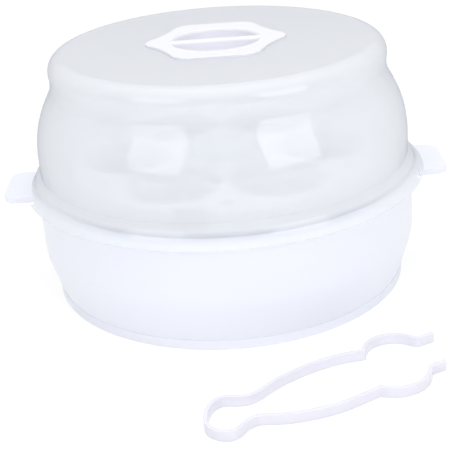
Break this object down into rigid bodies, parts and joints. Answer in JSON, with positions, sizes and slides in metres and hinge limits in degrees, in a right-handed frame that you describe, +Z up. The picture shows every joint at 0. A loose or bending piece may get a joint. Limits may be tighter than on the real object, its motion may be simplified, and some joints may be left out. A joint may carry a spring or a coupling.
{
  "type": "microwave steam sterilizer",
  "caption": "Round microwave steam sterilizer: tabbed water bowl, translucent domed lid with sunk grip, lift-out bottle rack and teat tray, and springy bottle tongs.",
  "frame": {"origin": "centre of the foot ring, on the table", "axes": "+Z up, X through the two carrying tabs, the tongs lie on the -Y side"},
  "size_m": [0.2786, 0.3269, 0.1524],
  "materials": {
    "white_plastic": "smooth white polypropylene",
    "clear_plastic": "milky translucent polypropylene, glossy outside",
    "grip_plastic": "white polypropylene",
    "rack_plastic": "white polypropylene",
    "tongs_plastic": "white polypropylene"
  },
  "bodies": {
    "base": {"base_bowl": "white_plastic"},
    "lid": {"lid_dome": "clear_plastic", "lid_grip": "grip_plastic"},
    "rack": {"rack_wall": "rack_plastic", "rack_deck_1": "rack_plastic", "rack_deck_2": "rack_plastic", "rack_deck_3": "rack_plastic", "rack_deck_4": "rack_plastic", "rack_deck_5": "rack_plastic", "rack_deck_6": "rack_plastic"},
    "tray": {"teat_tray": "rack_plastic"},
    "tongs": {"tongs_bow": "tongs_plastic"},
    "rear_arm": {"tongs_rear_arm": "tongs_plastic"},
    "front_arm": {"tongs_front_arm": "tongs_plastic"}
  },
  "joints": [
    {"name": "lid_lift", "type": "slide", "parent": "base", "child": "lid", "axis": [0, 0, 1], "range_m": [0, 0.16]},
    {"name": "rack_lift", "type": "slide", "parent": "base", "child": "rack", "axis": [0, 0, 1], "range_m": [0, 0.05]},
    {"name": "tray_lift", "type": "slide", "parent": "rack", "child": "tray", "axis": [0, 0, 1], "range_m": [0, 0.05]},
    {"name": "tongs_lift", "type": "slide", "parent": "base", "child": "tongs", "axis": [0, 0, 1], "range_m": [0, 0.15]},
    {"name": "rear_arm_squeeze", "type": "hinge", "parent": "tongs", "child": "rear_arm", "pos_m": [0.00406, -0.16934, 0.003], "axis": [0, 0, -1], "range_deg": [0, 6.5], "stiffness_Nm_per_rad": 0.5},
    {"name": "front_arm_squeeze", "type": "hinge", "parent": "tongs", "child": "front_arm", "pos_m": [0.00712, -0.18892, 0.003], "axis": [0, 0, 1], "range_deg": [0, 6.5], "stiffness_Nm_per_rad": 0.5}
  ],
  "couplings": [
    {"joint": "front_arm_squeeze", "follows": "rear_arm_squeeze", "ratio": 1}
  ]
}
